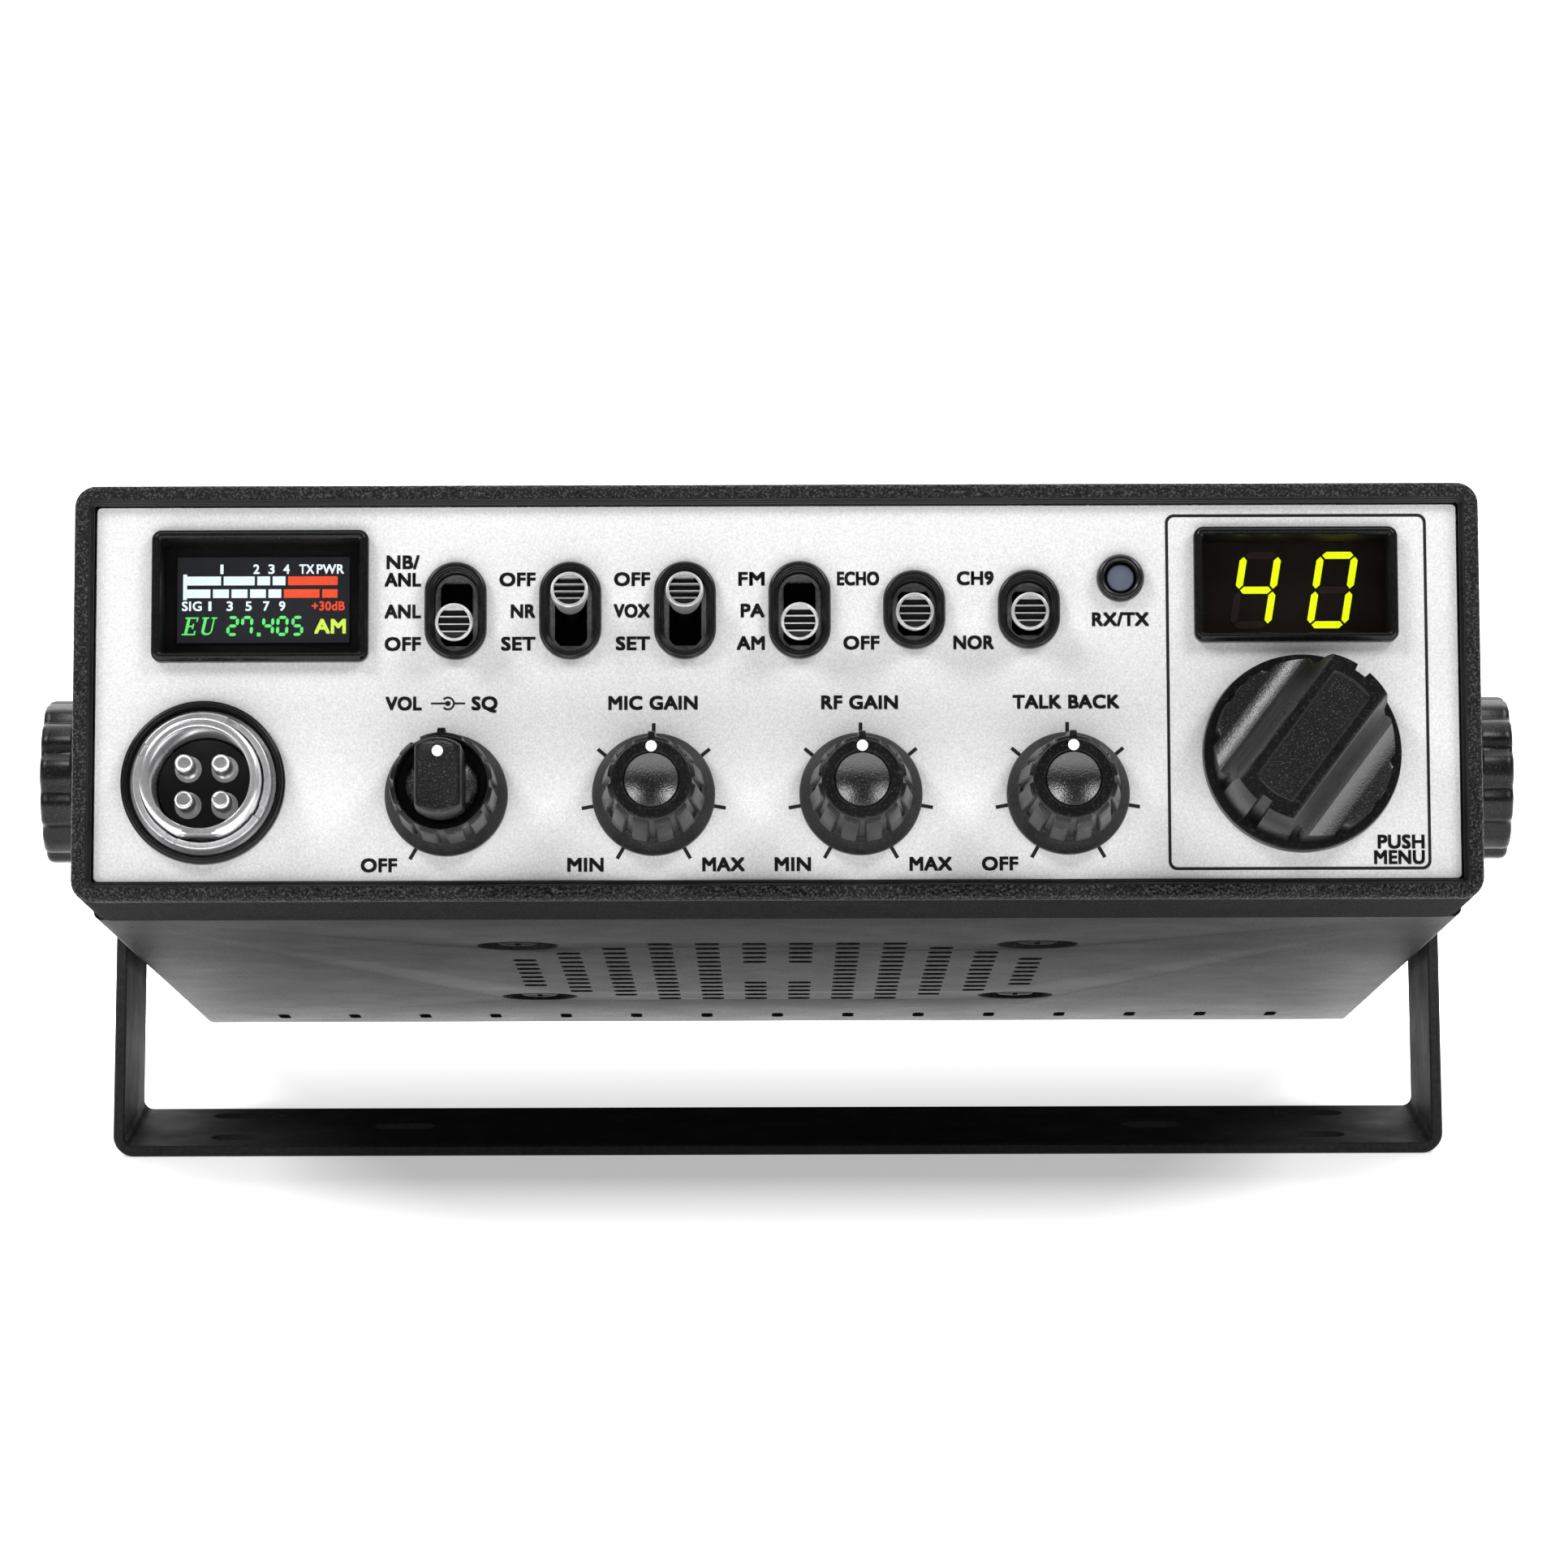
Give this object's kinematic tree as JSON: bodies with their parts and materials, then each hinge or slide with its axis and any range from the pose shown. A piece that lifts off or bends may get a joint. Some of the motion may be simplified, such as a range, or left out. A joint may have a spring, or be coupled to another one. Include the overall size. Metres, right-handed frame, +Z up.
{
  "type": "mobile transceiver",
  "caption": "Box-shaped mobile radio in a tilting U bracket, with lever switches, knobs, two displays, a microphone socket and a speaker grille underneath.",
  "frame": {"origin": "centre of the bracket base's underside, on the surface it stands on", "axes": "+Z up, -Y towards the front panel's side, +X to the right seen from the front; the radio leans back 15 degrees about X"},
  "size_m": [0.2148, 0.2206, 0.1044],
  "materials": {
    "case_paint": "black leather-grain finish",
    "bezel_plastic": "black leather-grain finish",
    "panel_silver": "fine matt silver",
    "bracket_paint": "satin black",
    "knob_plastic": "satin black",
    "trim_plastic": "gloss black",
    "bright_metal": "bright",
    "zinc": "zinc plated",
    "black_zinc": "black plated",
    "sink_metal": "bare",
    "board": "printed circuit board",
    "window": "smoked",
    "screen": "dark display",
    "lamp": "milky blue-grey",
    "paper": "black paper",
    "washer": "matt",
    "nylon": "bare"
  },
  "bodies": {
    "bracket": {"mounting_bracket": "bracket_paint"},
    "radio": {"top_cover": "case_paint", "bottom_cover": "case_paint", "front_bezel": "bezel_plastic", "front_panel": "panel_silver", "chassis_frame": "zinc", "heat_sink": "sink_metal", "main_board": "board", "control_board": "board", "speaker_basket": "zinc", "speaker_cone": "paper", "tft_frame": "trim_plastic", "tft_lens": "window", "tft_module": "screen", "channel_frame": "trim_plastic", "channel_lens": "window", "digit_module": "screen", "rx_tx_trim": "trim_plastic", "rx_tx_lamp": "lamp", "mic_trim_ring": "trim_plastic", "mic_lock_nut": "bright_metal", "mic_shell": "bright_metal", "mic_insulator": "knob_plastic", "mic_contacts": "zinc", "volume_squelch_pot": "zinc", "mic_gain_pot": "zinc", "rf_gain_pot": "zinc", "talk_back_pot": "zinc", "channel_encoder": "zinc", "antenna_socket": "zinc", "power_inlet": "knob_plastic", "speaker_jack": "zinc", "pa_jack": "zinc", "left_washer": "washer", "right_washer": "washer", "nb_switch_trim": "trim_plastic", "nr_switch_trim": "trim_plastic", "vox_switch_trim": "trim_plastic", "mode_switch_trim": "trim_plastic", "echo_switch_trim": "trim_plastic", "ch9_switch_trim": "trim_plastic", "bottom_screw_left_front": "black_zinc", "bottom_screw_left_rear": "black_zinc", "bottom_screw_right_front": "black_zinc", "bottom_screw_right_rear": "black_zinc"},
    "volume_knob_body": {"volume_knob": "knob_plastic"},
    "squelch_ring_body": {"squelch_ring": "knob_plastic"},
    "mic_gain_knob_body": {"mic_gain_knob": "knob_plastic"},
    "rf_gain_knob_body": {"rf_gain_knob": "knob_plastic"},
    "talk_back_knob_body": {"talk_back_knob": "knob_plastic"},
    "channel_plunger_body": {"channel_plunger": "nylon"},
    "channel_knob_body": {"channel_knob": "knob_plastic"},
    "left_side_knob_body": {"left_side_knob": "knob_plastic"},
    "right_side_knob_body": {"right_side_knob": "knob_plastic"},
    "nb_lever_body": {"nb_lever": "bright_metal"},
    "nr_lever_body": {"nr_lever": "bright_metal"},
    "vox_lever_body": {"vox_lever": "bright_metal"},
    "mode_lever_body": {"mode_lever": "bright_metal"},
    "echo_lever_body": {"echo_lever": "bright_metal"},
    "ch9_lever_body": {"ch9_lever": "bright_metal"}
  },
  "joints": [
    {"name": "tilt", "type": "hinge", "parent": "bracket", "child": "radio", "pos_m": [0, 0, 0.0534], "axis": [1, 0, 0], "range_deg": [-27, 57]},
    {"name": "left_side_knob_turn", "type": "hinge", "parent": "radio", "child": "left_side_knob_body", "pos_m": [-0.1, 0, 0.0534], "axis": [1, 0, 0], "continuous": true},
    {"name": "right_side_knob_turn", "type": "hinge", "parent": "radio", "child": "right_side_knob_body", "pos_m": [0.1, 0, 0.0534], "axis": [1, 0, 0], "continuous": true},
    {"name": "nb_switch", "type": "hinge", "parent": "radio", "child": "nb_lever_body", "pos_m": [-0.0425, -0.08024, 0.08624], "axis": [1, 0, 0], "range_deg": [-22, 0]},
    {"name": "nr_switch", "type": "hinge", "parent": "radio", "child": "nr_lever_body", "pos_m": [-0.02733, -0.08024, 0.08624], "axis": [1, 0, 0], "range_deg": [0, 22]},
    {"name": "vox_switch", "type": "hinge", "parent": "radio", "child": "vox_lever_body", "pos_m": [-0.01216, -0.08024, 0.08624], "axis": [1, 0, 0], "range_deg": [0, 22]},
    {"name": "mode_switch", "type": "hinge", "parent": "radio", "child": "mode_lever_body", "pos_m": [0.00301, -0.08024, 0.08624], "axis": [1, 0, 0], "range_deg": [-22, 0]},
    {"name": "echo_switch", "type": "hinge", "parent": "radio", "child": "echo_lever_body", "pos_m": [0.01818, -0.08024, 0.08624], "axis": [1, 0, 0], "range_deg": [-9.2, 0]},
    {"name": "ch9_switch", "type": "hinge", "parent": "radio", "child": "ch9_lever_body", "pos_m": [0.03335, -0.08024, 0.08624], "axis": [1, 0, 0], "range_deg": [-9.2, 0]},
    {"name": "volume_turn", "type": "hinge", "parent": "radio", "child": "volume_knob_body", "pos_m": [-0.0436, -0.09434, 0.0645], "axis": [0, 0.9659, -0.2588], "range_deg": [-150, 150]},
    {"name": "squelch_turn", "type": "hinge", "parent": "radio", "child": "squelch_ring_body", "pos_m": [-0.0436, -0.09434, 0.0645], "axis": [0, 0.9659, -0.2588], "range_deg": [-150, 150]},
    {"name": "mic_gain_turn", "type": "hinge", "parent": "radio", "child": "mic_gain_knob_body", "pos_m": [-0.0163, -0.09434, 0.0645], "axis": [0, 0.9659, -0.2588], "range_deg": [-150, 150]},
    {"name": "rf_gain_turn", "type": "hinge", "parent": "radio", "child": "rf_gain_knob_body", "pos_m": [0.011, -0.09434, 0.0645], "axis": [0, 0.9659, -0.2588], "range_deg": [-150, 150]},
    {"name": "talk_back_turn", "type": "hinge", "parent": "radio", "child": "talk_back_knob_body", "pos_m": [0.0383, -0.09434, 0.0645], "axis": [0, 0.9659, -0.2588], "range_deg": [-150, 150]},
    {"name": "channel_push", "type": "slide", "parent": "radio", "child": "channel_plunger_body", "axis": [0, 0.9659, -0.2588], "range_m": [0, 0.0008], "stiffness_N_per_m": 2500, "springref_m": -0.0008},
    {"name": "channel_turn", "type": "hinge", "parent": "channel_plunger_body", "child": "channel_knob_body", "pos_m": [0.06913, -0.09301, 0.06947], "axis": [0, 0.9659, -0.2588], "continuous": true}
  ]
}
